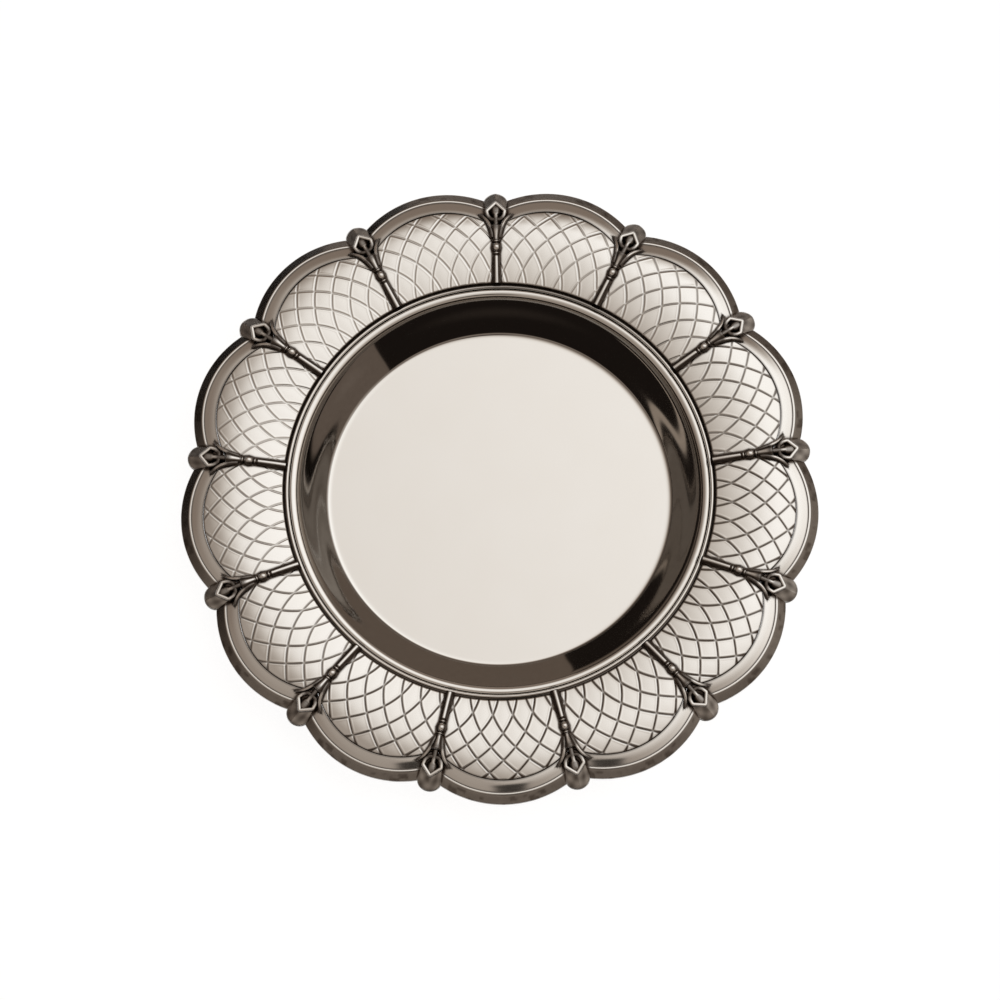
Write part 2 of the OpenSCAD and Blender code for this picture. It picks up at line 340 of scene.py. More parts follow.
# The border's engraved lobes
# Thirteen rounded lobes of one pressed and gently crowned sheet, lapped on the flange. Each is engraved
# with curved lines that cross in a lattice of diamonds, and the cuts hold dark oxide.
LOBES = 13
PITCH = 2 * np.pi / LOBES
LOBE_R = 43.2
LOBE_GAP = 0.0002
LOBE_CREASE = 75.0
FRAME_R = 17.4
BORDER_IN = 43.91
ARC_OUT = 62.7
BORDER_RISE = 0.9
LEAN_AT = 51.6
LEAN_HALF = 6.5
LEAN_RISE = 0.107
DOME_FROM = 12.0
DOME_BEND = 0.0075
RIM_ROUND = 0.1
INNER_ROUND = 0.42
INNER_DROP = 0.36
LATTICE_TOP = 59.2
LINE_PITCH = 4.87
LINE_SPREAD = 0.048
SPREAD_FROM = 48.0
LINE_BOW = 0.0045
RAMP = 0.2
RAMP_BEND = 0.000225
CUT_W = 0.155
CUT_DEPTH = 0.07
CUT_MARGIN = 0.3
CELL_CROWN = 0.025
BURR = 0.019
BURR_AT = 0.36
BURR_W = 0.13
CUT_SHADE_AT = np.radians(-62.0)
LEAST_CUT_SHADE = 0.36
RING_FADE_FROM = 51.0
RING_FADE_FULL = 45.0
RIB_SMUDGE_W = 0.28
RING_SMUDGE_END = 0.36
RING_SMUDGE_FULL = 0.24
FRAME_SMUDGE_W = 0.2
UNDER_TARNISH = 0.3
RIB_ALONG = [43.9, 45.0, 49.6, 50.2, 51.4, 52.6, 54.0, 55.5, 57.5, 58.3, 58.9]
RIB_HALF = [1.1, 0.85, 0.8, 0.8, 1.05, 0.85, 1.25, 1.6, 2.35, 3.2, 4.0]
LOBE_COLUMNS = 190
LOBE_ROWS = 150
RIM_SHARES = np.array([0.0, 0.003, 0.008])
FIRST_ROW = 0.013
UNDER_ROWS = 9

border_z = SEAT_Z + SOLDER + SHEET
arc_mid = (BORDER_IN + ARC_OUT) / 2
arc_half = (ARC_OUT - BORDER_IN) / 2
arc_r = (arc_half ** 2 + BORDER_RISE ** 2) / (2 * BORDER_RISE)
arc_z = border_z + BORDER_RISE - arc_r


def bell(distance, width):
    """1 at no distance, falling as a bell curve over the width."""
    return np.exp(-(distance / width) ** 2)


def sheet_z(r):
    """Height of the border's top at radius r: one flat arc plus a soft step, turned about the axis.

    The step is a ramp plus a sine, so its slope is a raised cosine that draws the arc's crest outwards.
    """
    lean = np.clip((r - LEAN_AT) / LEAN_HALF, -1, 1)
    step = LEAN_RISE * (1 + lean + np.sin(np.pi * lean) / np.pi)
    return arc_z + np.sqrt(arc_r ** 2 - (r - arc_mid) ** 2) + step


def from_lobe_middle(theta, r):
    """Distance from the middle of a lobe, by the cosine rule, at angle theta off it and radius r."""
    return np.sqrt(r ** 2 + LOBE_R ** 2 - 2 * r * LOBE_R * np.cos(theta))


def dome_drop(theta, r):
    """How far a lobe rounds off below the arc: by the squared distance past a ring round its middle."""
    return DOME_BEND * np.maximum(0, from_lobe_middle(theta, r) - DOME_FROM) ** 2


def lattice(theta, r):
    """Distances in millimetres to the nearest line of either engraved family, and the diamond's crown.

    The two families of lines are where theta over the line pitch, plus or minus a bent ramp in r, is a
    whole number. The distance is the miss divided by the slope of that sum.
    """
    degrees = np.degrees(theta)
    spread = LINE_PITCH + LINE_SPREAD * np.maximum(0, r - SPREAD_FROM)
    x = LATTICE_TOP - r - LINE_BOW * degrees ** 2
    bent_ramp = RAMP * x - RAMP_BEND * x ** 3 + 0.5
    steep = np.hypot(np.degrees(1.0) / (spread * r), RAMP - 3 * RAMP_BEND * x ** 2)
    rising = degrees / spread + bent_ramp
    falling = degrees / spread - bent_ramp
    miss_rising = np.abs(rising - np.round(rising))
    miss_falling = np.abs(falling - np.round(falling))
    crown = np.cos(np.pi * (0.5 - miss_rising)) * np.cos(np.pi * (0.5 - miss_falling))
    return miss_rising / steep, miss_falling / steep, crown


def capped_grid(across, along):
    """Faces of a grid whose columns are closed rings, with one many-sided face over each end column."""
    row_starts = np.arange(along) * across
    caps = np.stack([row_starts, (row_starts + across - 1)[::-1]])
    return [grid_faces(across, along, False, True), caps]


# The grid of one lobe: a closed ring of rows, inwards over the top and outwards underneath.
lobe_theta = np.linspace(-PITCH / 2 + LOBE_GAP, PITCH / 2 - LOBE_GAP, LOBE_COLUMNS)
lobe_side = LOBE_R * np.sin(lobe_theta)
rim_out = LOBE_R * np.cos(lobe_theta) + np.sqrt((FRAME_R - SOLDER) ** 2 - lobe_side ** 2)
inner_rows = np.linspace(1 - FIRST_ROW, FIRST_ROW, LOBE_ROWS)
top_share = np.concatenate([1 - RIM_SHARES, inner_rows, RIM_SHARES[::-1]])
under_share = np.linspace(0.0, 1.0, UNDER_ROWS)
top_r = BORDER_IN + top_share[:, None] * (rim_out - BORDER_IN)
under_r = BORDER_IN + under_share[:, None] * (rim_out - BORDER_IN)
to_inner = top_r - BORDER_IN
to_frame = rim_out - top_r
to_rim = np.minimum(to_inner, to_frame)

# The engraving: each cut is a bell-shaped groove with a burr thrown up beside it.
cut_one, cut_two, cell_crown = lattice(lobe_theta[None, :] + 0 * top_r, top_r)
nearest = np.minimum(cut_one, cut_two)
burr = BURR * bell(nearest - BURR_AT, BURR_W)
engraved = CELL_CROWN * cell_crown + burr - CUT_DEPTH * bell(nearest, CUT_W)
rim_drop = RIM_ROUND * fade(to_rim, 1.5 * RIM_ROUND, 0.0) ** 2
rim_drop += INNER_DROP * fade(to_inner, INNER_ROUND, 0.0) ** 2
top_dome = dome_drop(lobe_theta[None, :], top_r)
under_dome = dome_drop(lobe_theta[None, :], under_r)
top_z = sheet_z(top_r) - top_dome - rim_drop + engraved * fade(to_rim, 0.0, CUT_MARGIN)
section_r = np.concatenate([under_r, top_r])
section_z = np.concatenate([sheet_z(under_r) - under_dome - SHEET, top_z])
lobe_faces = capped_grid(LOBE_COLUMNS, len(section_r))

# The oxide: in the cuts, which flare at the frame, and along the ribs, the wire and the frame.
off_rib = PITCH / 2 - np.abs(lobe_theta)
from_rib = top_r * np.sin(off_rib) - np.interp(top_r * np.cos(off_rib), RIB_ALONG, RIB_HALF)
rib_smudge = 1.3 * bell(np.maximum(from_rib, 0), RIB_SMUDGE_W)
ring_smudge = fade(to_inner, RING_SMUDGE_END, RING_SMUDGE_FULL)
frame_smudge = (0.9 + 0.3 * bell(nearest, 0.6)) * bell(to_frame, FRAME_SMUDGE_W)
seam_oxide = np.clip(np.maximum.reduce([rib_smudge, ring_smudge, frame_smudge]), 0, 1)
cut_width = CUT_W * (1 + 1.3 * bell(to_frame, 0.5))
crossing_loss = 1 - 0.45 * bell(np.maximum(cut_one, cut_two), 0.3)
near_ring = fade(top_r, RING_FADE_FROM, RING_FADE_FULL)
under_tarnish = np.where(np.abs(under_share - 0.5) > 0.49, 1.0, UNDER_TARNISH)[:, None] + 0 * under_r
lobe_silver = silver_finish("lobe_silver", 0.06, 0.35, 1.0)
for number in range(1, LOBES + 1):
    lobe_at = np.pi / 2 + (number - 0.5) * PITCH
    angle = lobe_at + lobe_theta
    lobe_points = np.stack([section_r * np.cos(angle), section_r * np.sin(angle), section_z], axis=-1)
    # Painted shade: the oxide in the cuts is real, but how dark it shows follows each lobe's direction round
    # the saucer, darkest on the lobes at the front, a little to the right, and palest at the back. On the
    # paler lobes the cuts also fade towards the ring.
    cut_shade_share = np.interp(np.cos(lobe_at - CUT_SHADE_AT), [-1.0, 0.0, 0.7], [LEAST_CUT_SHADE, 0.8, 1.0])
    dark_width = cut_width * np.interp(cut_shade_share, [LEAST_CUT_SHADE, 1.0], [0.9, 1.1])
    cut_oxide = np.clip(2.0 * np.exp(-1.5 * (nearest / dark_width) ** 2), 0, 1) * crossing_loss
    ring_fade = 1 - min(0.5, 1.3 * (1 - cut_shade_share)) * near_ring
    lobe_tarnish_and_shade = np.concatenate([under_tarnish, np.maximum(cut_shade_share * ring_fade * cut_oxide, seam_oxide)])
    add_piece(f"engraved_lobe_{number:02d}", lobe_points.reshape(-1, 3), lobe_faces, lobe_tarnish_and_shade.ravel(),
              lobe_silver, "border", LOBE_CREASE)

# The edge mouldings
# Thirteen lengths of drawn silver moulding, each bent round one lobe and mitred to the next: a plain
# sloping band, a fine raised ridge, a dark bevel and a thin lip that turns down.
RIDGE_R = 19.82
BEVEL_R = 20.28
SCALLOP_R = 21.99
BAND_DROP = 0.62
RIDGE_H = 0.15
BEVEL_DROP = 1.15
LIP_H = 0.68
MITRE_GAP = 0.0006
BEVEL_DARK = 0.74
BEVEL_FADE = 0.2
REFLECTION_BLOTCH = 0.16
VALLEY_DARK = 0.85
SEAM_DARK = 0.97
RECESS_W = 0.35
RECESS_END = 62.0
RECESS_ALONG = [55.0, 56.5, 57.5, 58.9, 59.3, 62.1, 62.6]
RECESS_HALF = [1.6, 2.0, 2.4, 3.7, 2.5, 2.5, 0.0]
EDGE_COLUMNS = 140
EDGE_CROWD = 0.65
EDGE_CREASE = 40.0
CORNER_STEPS = 6
SIDE_SHARES = np.array([0.02, 0.12, 0.4, 0.7, 0.98])[None, :, None]

frame_z = sheet_z(LOBE_R + FRAME_R)
band_z = frame_z - BAND_DROP
ridge_z = band_z + RIDGE_H
edge_z = ridge_z - BEVEL_DROP
lip_z = edge_z - LIP_H
edge_corners = np.array([
    [FRAME_R, frame_z - SHEET], [BEVEL_R, band_z - SHEET],
    [SCALLOP_R - SHEET, edge_z - SHEET / 2], [SCALLOP_R - SHEET, lip_z],
    [SCALLOP_R, lip_z], [SCALLOP_R, edge_z], [BEVEL_R + 0.06, ridge_z - 0.06], [BEVEL_R - 0.14, ridge_z],
    [RIDGE_R + 0.1, ridge_z], [RIDGE_R, band_z - 0.04], [RIDGE_R - 0.12, band_z - 0.02],
    [FRAME_R + 0.85, band_z + 0.46], [FRAME_R, frame_z - 0.02]])
edge_bends = np.array([0.05, 0.2, 0.1, 0.05, 0.12, 0.16, 0.07, 0.07, 0.05, 0.04, 0.05, 0.75, 0.1])


def rounded_section(corners, bends):
    """A section with its corners rounded.

    Each corner is replaced by a quadratic curve that leaves one side and meets the next at the bend's
    distance from the corner, and each straight side carries a few points near its two ends.
    """
    before = np.roll(corners, 1, axis=0) - corners
    after = np.roll(corners, -1, axis=0) - corners
    start = corners + before / np.linalg.norm(before, axis=1, keepdims=True) * bends[:, None]
    end = corners + after / np.linalg.norm(after, axis=1, keepdims=True) * bends[:, None]
    t = np.linspace(0.0, 1.0, CORNER_STEPS)[None, :, None]
    curve = corner_curve(start[:, None], corners[:, None], end[:, None], t)
    next_start = np.roll(start, -1, axis=0)
    side = end[:, None] * (1 - SIDE_SHARES) + next_start[:, None] * SIDE_SHARES
    return np.concatenate([curve, side], axis=1).reshape(-1, 2)


def about_axis(points, angle):
    """The points turned about the axis of the saucer by an angle, counter-clockwise from above."""
    x, y, z = points[..., 0], points[..., 1], points[..., 2]
    turned_points = [x * np.cos(angle) - y * np.sin(angle), x * np.sin(angle) + y * np.cos(angle), z]
    return np.stack(turned_points, axis=-1).reshape(-1, 3)


# Each section point runs round the lobe's middle as far as the mitre, its columns crowded to the two ends.
edge_section = rounded_section(edge_corners, edge_bends)
edge_rho = edge_section[:, 0, None]
edge_reach = PITCH / 2 + np.arcsin(LOBE_R * np.sin(PITCH / 2) / edge_rho) - MITRE_GAP
edge_step = np.linspace(-1, 1, EDGE_COLUMNS)[None, :]
edge_turn = edge_reach * ((1 - EDGE_CROWD) * edge_step + EDGE_CROWD * np.sin(np.pi / 2 * edge_step))
edge_x = edge_rho * np.sin(-edge_turn)
edge_y = LOBE_R + edge_rho * np.cos(edge_turn)
edge_points = np.stack([edge_x, edge_y, edge_section[:, 1, None] + 0 * edge_x], axis=-1)
edge_faces = capped_grid(EDGE_COLUMNS, len(edge_section))

# The oxide: either side of the ridge, in the seam with the lobe and beside the rib. Over the bevel the
# darkening is partly oxide and partly painted shade for the dark room it reflects, with painted dark
# reflections as blotches.
valley = np.maximum(bell(edge_rho - RIDGE_R + 0.04, 0.13), bell(edge_rho - BEVEL_R - 0.1, 0.1))
inner_seam = bell(edge_rho - FRAME_R, 0.15)
edge_r = np.hypot(edge_x, edge_y)
off_rib = PITCH / 2 - np.abs(np.arctan2(edge_x, edge_y))
rib_y = edge_r * np.cos(off_rib)
from_rib = edge_r * np.sin(off_rib) - np.interp(rib_y, RECESS_ALONG, RECESS_HALF)
in_recess = bell(np.maximum(from_rib, 0), RECESS_W) * (rib_y < RECESS_END)
edge_tarnish = np.maximum(np.maximum(VALLEY_DARK * valley, SEAM_DARK * inner_seam), in_recess)
on_bevel = fade(edge_rho, BEVEL_R, BEVEL_R + BEVEL_FADE)
edge_silver = silver_finish("edge_silver", 0.09, 0.19, 0.98, 0.1)
for number in range(1, LOBES + 1):
    drift = np.array([1.7, 2.9, 4.3]) * number
    # Painted reflections: dark blotches over the bevel, a sum of sines that differs from lobe to lobe.
    reflection_blotches = (np.sin(9 * edge_turn + drift[0]) + np.sin(23 * edge_turn + 2 * edge_rho + drift[1])
              + np.sin(41 * edge_turn - 3 * edge_rho + drift[2]))
    bevel_oxide_and_shade = (BEVEL_DARK + REFLECTION_BLOTCH * fade(reflection_blotches, 0.8, 1.3)) * on_bevel
    add_piece(f"edge_moulding_{number:02d}", about_axis(edge_points, (number - 0.5) * PITCH), edge_faces,
              np.maximum(edge_tarnish, bevel_oxide_and_shade).ravel(), edge_silver,
              f"edge_{number:02d}", EDGE_CREASE)

# The tassel ribs
# Thirteen cast silver ribs, one over each meeting of two lobes: a rod, a ball between two collars, a
# cup with two bending leaves, a stem with its bud inside a five-sided loop, and a hood at the rim.
ROD_IN = 43.96
ROD_END = 49.75
ROD_R = 0.8
ROD_TAPER = 0.06
ROD_ROUND = 0.3
ROD_STEPS = 300
ROD_AROUND = 28
CORE_END = 53.2
CORE_R = 0.48
COLLARS_AT = (50.12, 52.7)
COLLAR_R = 0.78
COLLAR_HALF = 0.22
BALL_AT = 51.4
BALL_R = 1.02
CUP_IN = 52.95
CUP_OUT = 56.2
CUP_NECK = 0.62
CUP_R = 1.5
STEM_IN = 55.0
STEM_R = 0.58
BUD_AT = 59.6
BUD_R = 1.0
BUD_L = 1.2
BUD_FLAT = 0.6
BUD_SINK = 0.25
AXIS_LIFT = 0.32
CLEAR_TOP_RISE = 0.985
LEAF_POINTS = np.array([[0.75, 53.6], [1.1, 55.6], [1.5, 57.9], [3.7, 58.95]])
LEAF_W = 0.43
LEAF_H = 0.7
LEAF_SQUARE = 0.8
LEAF_SHADE_SHARE = 0.28
LEAF_STEPS = 60
LEAF_AROUND = 24
LOOP_CORNERS = np.array([[0, 57.45], [0.95, 57.55], [1.65, 58.4], [1.88, 59.45], [0, 61.3],
                         [-1.88, 59.45], [-1.65, 58.4], [-0.95, 57.55], [0, 57.45]])
LOOP_FOOT = 57.41
LOOP_LIFT = 0.12
LOOP_SLOPE = np.radians(5)
LOOP_W = 0.42
LOOP_H = 0.55
LOOP_SQUARE = 0.7
LOOP_STEPS = 144
LOOP_AROUND = 24
LOOP_SOFTEN = 3
HOOD_TIP = 64.06
HOOD_W = 2.45
HOOD_CORNER = 62.1
HOOD_APEX = 61.2
HOOD_ROOF = 1.9
HOOD_SHOULDER = 1.95
HOOD_HIGH = 8.66
HOOD_PITCH = 0.5
HOOD_LEAN = 0.3
HOOD_EDGE_DROP = 0.12
HOOD_EDGE_FROM = 0.93
HOOD_SKIRT_FROM = 0.72
HOOD_BITE = 0.45
HOOD_UNDER_DARK = 0.5
HOOD_ACROSS = 49
HOOD_ALONG = 24
RIB_CREASE = 60.0


def swept(path, half_width, half_height, around, square=1.0, closed=False, shade_share=0.3):
    """An oval section carried along a path, with its own half width and half height at every step.

    Each point is path + width cos(a) side + height sin(a) up, where side is square to the path and level.
    Cosine and sine are raised to a power, which squares the oval off. An open path ends in a point each way.
    Returns points, faces and the tarnish_and_shade: none on the top, then rising to 1 down the sides over
    the shade share. This is painted shade that leaves a narrow highlight along the top, with oxide at the
    foot.
    """
    step = (np.roll(path, -1, axis=0) - np.roll(path, 1, axis=0)) if closed else np.gradient(path, axis=0)
    step /= np.linalg.norm(step, axis=1, keepdims=True)
    side = np.cross([0.0, 0.0, 1.0], step)
    side /= np.linalg.norm(side, axis=1, keepdims=True)
    up = np.cross(step, side)
    a = np.linspace(0.0, 2 * np.pi, around, endpoint=False)
    across = np.sign(np.cos(a)) * np.abs(np.cos(a)) ** square
    rise = np.sign(np.sin(a)) * np.abs(np.sin(a)) ** square
    width = half_width[:, None, None] * across[None, :, None]
    height = half_height[:, None, None] * rise[None, :, None]
    rings = path[:, None, :] + width * side[:, None, :] + height * up[:, None, :]
    side_shade = np.clip((CLEAR_TOP_RISE - rise[None, :]) / (shade_share + 0 * half_width[:, None]), 0, 1)
    if closed:
        return rings.reshape(-1, 3), [grid_faces(around, len(path), True, True)], side_shade.ravel()
    points = np.concatenate([rings.reshape(-1, 3), path[:1], path[-1:]])
    return points, closed_ends(len(path), around), np.append(side_shade.ravel(), [1.0, 1.0])


def dulled(part, dull):
    """A swept part with its tarnish_and_shade raised, at every step of its path, to no less than the dull
    there.
    """
    points, faces, tarnish_and_shade = part
    around = len(tarnish_and_shade) // len(dull)
    rings = len(dull) * around
    raised = np.maximum(tarnish_and_shade[:rings], np.repeat(dull, around))
    return points, faces, np.append(raised, tarnish_and_shade[rings:])


def top_of_border(x, y):
    """Height of the lobes and mouldings beneath a rib, at x across it and y along it."""
    r = np.hypot(x, y)
    rho = from_lobe_middle(PITCH / 2 - np.abs(np.arctan2(x, y)), r)
    moulding = np.interp(rho, [FRAME_R, RIDGE_R, BEVEL_R, SCALLOP_R], [frame_z, band_z, ridge_z, edge_z])
    return np.where(rho < FRAME_R, sheet_z(np.minimum(r, ARC_OUT)), moulding)


def swelling(y, at, half_length, height, power=2.0):
    """A rounded swelling along y: height times the root of 1 less a power of the share of its half."""
    return height * np.sqrt(np.clip(1 - np.abs((y - at) / half_length) ** power, 0, None))


# Rod, ball, collars, cup, stem and bud are one turned rod: its radius is the widest of them at each step.
rod_y = np.linspace(ROD_IN, BUD_AT + BUD_L - 0.01, ROD_STEPS)
rod = np.interp(rod_y, [ROD_IN, ROD_END], [ROD_R + ROD_TAPER, ROD_R - ROD_TAPER])
rod *= np.sqrt(1 - fade(rod_y, ROD_END - ROD_ROUND, ROD_END) ** 2)
core = np.where(rod_y < CORE_END, CORE_R, 0.0)
collars = [swelling(rod_y, at, COLLAR_HALF, COLLAR_R, 3) for at in COLLARS_AT]
ball = swelling(rod_y, BALL_AT, BALL_R, BALL_R)
cup_share = fade(rod_y, CUP_IN, CUP_OUT)
cup = (CUP_NECK + (CUP_R - CUP_NECK) * cup_share ** 1.3) * np.sqrt(1 - cup_share ** 14) * (rod_y > CUP_IN)
stem = np.where((rod_y > STEM_IN) & (rod_y < BUD_AT), STEM_R, 0.0)
bud = swelling(rod_y, BUD_AT, BUD_L, BUD_R, 2.4)
rod_w = np.maximum.reduce([rod, core, *collars, ball, cup, stem, bud])
rod_h = np.maximum.reduce([rod, core, *collars, ball, cup, stem, BUD_FLAT * bud])
bud_sink = np.interp(rod_y, [CUP_OUT, BUD_AT], [0.0, BUD_SINK])
rod_path = np.stack([0 * rod_y, rod_y, sheet_z(rod_y) + AXIS_LIFT - bud_sink], axis=-1)
# Along the rod, a small share keeps only a thin painted highlight on the top of rod and cup.
rod_shade_share = np.interp(rod_y, [49.8, 50.2, 52.8, 53.2, CUP_OUT, CUP_OUT + 0.1],
                       [0.07, 0.2, 0.2, 0.06, 0.06, 0.2])[:, None]
rod_pinch = fade(rod_w, 0.72, 0.57) * (rod_y < CUP_IN + 0.4)
# Painted shade: the outer cup and the stem between the leaves, and the bud inside the loop, are darkened.
cup_and_stem_shade = np.interp(rod_y, [54.6, 55.4, 57.6, 58.4], [0.0, 0.8, 0.8, 0.0])
bud_shade = np.interp(rod_y, [BUD_AT - BUD_L, BUD_AT - 0.6], [0.0, 0.62])
rod_part = dulled(swept(rod_path, rod_w, rod_h, ROD_AROUND, shade_share=rod_shade_share),
                  np.maximum.reduce([rod_pinch, cup_and_stem_shade, bud_shade]))

# Each leaf follows a cubic curve in plan through four points, at a smoothed height over the border.
leaf_t = np.linspace(0.0, 1.0, LEAF_STEPS)
leaf_weights = np.stack([(1 - leaf_t) ** 3, 3 * leaf_t * (1 - leaf_t) ** 2,
                         3 * leaf_t ** 2 * (1 - leaf_t), leaf_t ** 3], axis=-1)
leaf_line = leaf_weights @ LEAF_POINTS
leaf_ground = top_of_border(leaf_line[:, 0], leaf_line[:, 1])
leaf_base = np.polyval(np.polyfit(leaf_t, leaf_ground, 3), leaf_t)
leaf_rise = np.interp(leaf_t, [0, 0.4, 1], [0.45, 0.3, 0.15])
leaf_path = np.column_stack([leaf_line, leaf_base + leaf_rise])
leaf_swell = (0.7 + 0.3 * np.sin(np.pi * leaf_t)) * np.clip((1 - leaf_t) / 0.08, 0.03, 1) ** 0.5
leaf_dull = np.interp(leaf_t, [0.3, 0.42, 0.64, 0.85], [0.85, 0.0, 0.1, 0.92])
leaves = [dulled(swept(leaf_path * [side, 1, 1], LEAF_W * leaf_swell, LEAF_H * leaf_swell,
                       LEAF_AROUND, LEAF_SQUARE, shade_share=LEAF_SHADE_SHARE), leaf_dull) for side in (1, -1)]

# The loop is a ring through its corners in plan, softened by a running mean, on a gentle slope.
loop_long = np.append(0, np.cumsum(np.linalg.norm(np.diff(LOOP_CORNERS, axis=0), axis=1)))
loop_at = np.linspace(0, loop_long[-1], LOOP_STEPS, endpoint=False)
loop_line = np.stack([np.interp(loop_at, loop_long, LOOP_CORNERS[:, 0]),
                      np.interp(loop_at, loop_long, LOOP_CORNERS[:, 1])], axis=-1)
loop_shifts = range(-LOOP_SOFTEN, LOOP_SOFTEN + 1)
loop_soft = sum(np.roll(loop_line, shift, axis=0) for shift in loop_shifts) / len(loop_shifts)
loop_height = sheet_z(LOOP_FOOT) + SOLDER + LOOP_LIFT - np.tan(LOOP_SLOPE) * (loop_soft[:, 1] - LOOP_FOOT)
loop_path = np.column_stack([loop_soft, loop_height])
# Painted shade: the loop's lower arms, down between the leaves, are darkened.
loop_shade = np.interp(loop_soft[:, 1], [57.8, 58.4, 59.0], [0.95, 0.45, 0.0])
loop_part = dulled(swept(loop_path, np.full(LOOP_STEPS, LOOP_W), np.full(LOOP_STEPS, LOOP_H),
                         LOOP_AROUND, LOOP_SQUARE, True), loop_shade)

# The hood is ruled from a roof line to the rounded rim, with a skirt down to the moulding's lip.
hood_s = np.linspace(-1.0, 1.0, HOOD_ACROSS)[None, :]
hood_t = np.linspace(0.0, 1.0, HOOD_ALONG)[:, None]
roof_x = HOOD_SHOULDER * hood_s
roof_y = HOOD_APEX - HOOD_ROOF * np.abs(hood_s)
rim_turn = np.pi / 2 * (1 - hood_s)
rim_x = HOOD_W * np.cos(rim_turn)
rim_y = HOOD_CORNER + (HOOD_TIP - HOOD_CORNER) * np.sin(rim_turn) ** 1.1
hood_x = roof_x + (rim_x - roof_x) * hood_t
hood_y = roof_y + (rim_y - roof_y) * hood_t
hood_top = HOOD_HIGH - HOOD_PITCH * (hood_y - HOOD_APEX) - HOOD_LEAN * np.abs(hood_x)
hood_top -= HOOD_EDGE_DROP * fade(hood_t, HOOD_EDGE_FROM, 1.0) ** 2
hood_bed = np.minimum(top_of_border(hood_x, hood_y) - HOOD_BITE, hood_top - 0.1)
hood_low = np.where(hood_t > HOOD_SKIRT_FROM, lip_z, hood_bed)
hood_over = np.stack([hood_x, hood_y, hood_top], axis=-1)
hood_under = np.stack([hood_x, hood_y, hood_low], axis=-1)[:, ::-1]
hood_rings = np.concatenate([hood_over, hood_under], axis=1)
hood_points = np.concatenate([hood_rings.reshape(-1, 3), hood_rings[[0, -1]].mean(axis=1)])
hood_faces = closed_ends(HOOD_ALONG, 2 * HOOD_ACROSS)
hood_crease = np.maximum(0.85 * fade(hood_t, 0.14, 0.04), 0.7 * fade(np.abs(hood_s), 0.88, 0.98))
hood_crease = np.concatenate([hood_crease, np.full_like(hood_crease, HOOD_UNDER_DARK)], axis=1)
# The hood's mottle darkens it as a whole: partly oxide, partly painted dark reflections of the room.
hood_mottle = 0.66 + 0.22 * np.sin(6 * hood_s + 2 * hood_t) * np.sin(7 * hood_t - 3 * hood_s)
hood_mottle = np.concatenate([hood_mottle, hood_mottle], axis=1)
hood_tarnish_and_shade = np.append(np.maximum(hood_crease, hood_mottle).ravel(), [HOOD_UNDER_DARK] * 2)

rib_parts = [rod_part, *leaves, loop_part, (hood_points, hood_faces, hood_tarnish_and_shade)]
rib_points = np.concatenate([points for points, faces, tarnish_and_shade in rib_parts])
rib_tarnish_and_shade = np.concatenate([tarnish_and_shade for points, faces, tarnish_and_shade in rib_parts])
rib_starts = np.cumsum([0] + [len(points) for points, faces, tarnish_and_shade in rib_parts])
rib_faces = [block + start for start, part in zip(rib_starts, rib_parts) for block in part[1]]
rib_silver = silver_finish("rib_silver", 0.13, 0.42, 0.97)
for number in range(1, LOBES + 1):
    add_piece(f"tassel_rib_{number:02d}", about_axis(rib_points, (number - 1) * PITCH), rib_faces,
              rib_tarnish_and_shade, rib_silver, f"rib_{number:02d}", RIB_CREASE)

# The floor
# A plain pale studio table: part of its white is paint that takes the saucer's shadow, and the rest is
# an even glow for what the camera and the silver see.
FLOOR_SIZE = 3.0
TABLE_PAINT = (0.36, 0.362, 0.37, 1.0)
TABLE_GLOW = 0.88

floor_mesh = bpy.data.meshes.new("studio_floor")
floor_corners = np.array([[-1, -1, 0], [1, -1, 0], [1, 1, 0], [-1, 1, 0]]) * FLOOR_SIZE
floor_mesh.from_pydata(floor_corners.tolist(), [], [[0, 1, 2, 3]])
floor_paint = bpy.data.materials.new("studio_white")
floor_paint.use_nodes = True
table = floor_paint.node_tree
table.nodes.remove(table.nodes["Principled BSDF"])
paint = table.nodes.new("ShaderNodeBsdfDiffuse")
paint.inputs["Color"].default_value = TABLE_PAINT
glow = table.nodes.new("ShaderNodeEmission")
seen = table.nodes.new("ShaderNodeLightPath").outputs
seen_straight = reckon(table, "MAXIMUM", seen["Is Camera Ray"], seen["Is Glossy Ray"])
seen_any = reckon(table, "MAXIMUM", seen_straight, seen["Is Transmission Ray"])
feed(table, glow.inputs["Strength"], reckon(table, "MULTIPLY", seen_any, TABLE_GLOW))
both = table.nodes.new("ShaderNodeAddShader")
feed(table, both.inputs[0], paint.outputs["BSDF"])
feed(table, both.inputs[1], glow.outputs["Emission"])
feed(table, table.nodes["Material Output"].inputs["Surface"], both.outputs["Shader"])
floor_mesh.materials.append(floor_paint)
studio_floor = bpy.data.objects.new("studio_floor", floor_mesh)
bpy.context.scene.collection.objects.link(studio_floor)

# The light
# One large soft studio light above and behind the saucer on the right, under a dim ceiling. Low down the
# room is brown to the right and behind and nearly black elsewhere. A dark stand is up in front, a dark
# skirting runs low on the right, and a narrow pale shelf on the left.
LIGHT_FROM = np.array([0.38, 0.396, 0.86])
LIGHT_WIDTH = np.radians(38.0)
LIGHT_EDGE_POWER = 3.0
CEILING_LEVEL = 0.18
FRONT_LEVEL = 0.62
STAND_DARK = 0.9
SKIRTING_DARK = 0.97
UP = (0.0, 0.0, 1.0)
BACK = (0.0, 1.0, 0.0)
LEFT = (-1.0, 0.0, 0.0)
RIGHT = (1.0, 0.0, 0.0)
ROOM_SIDE = (0.848, 0.53, 0.0)
FRONT_HIGH = (0.0, -0.6, 0.8)
RIGHT_MID = (0.909, 0.101, 0.404)
STAND_AT = (0.05, -0.39, 0.9195)
ROOM_BROWN = (0.198, 0.157, 0.129, 1.0)
ROOM_TAN = (0.45, 0.392, 0.34, 1.0)
SHELF_PALE = (0.48, 0.40, 0.33, 1.0)
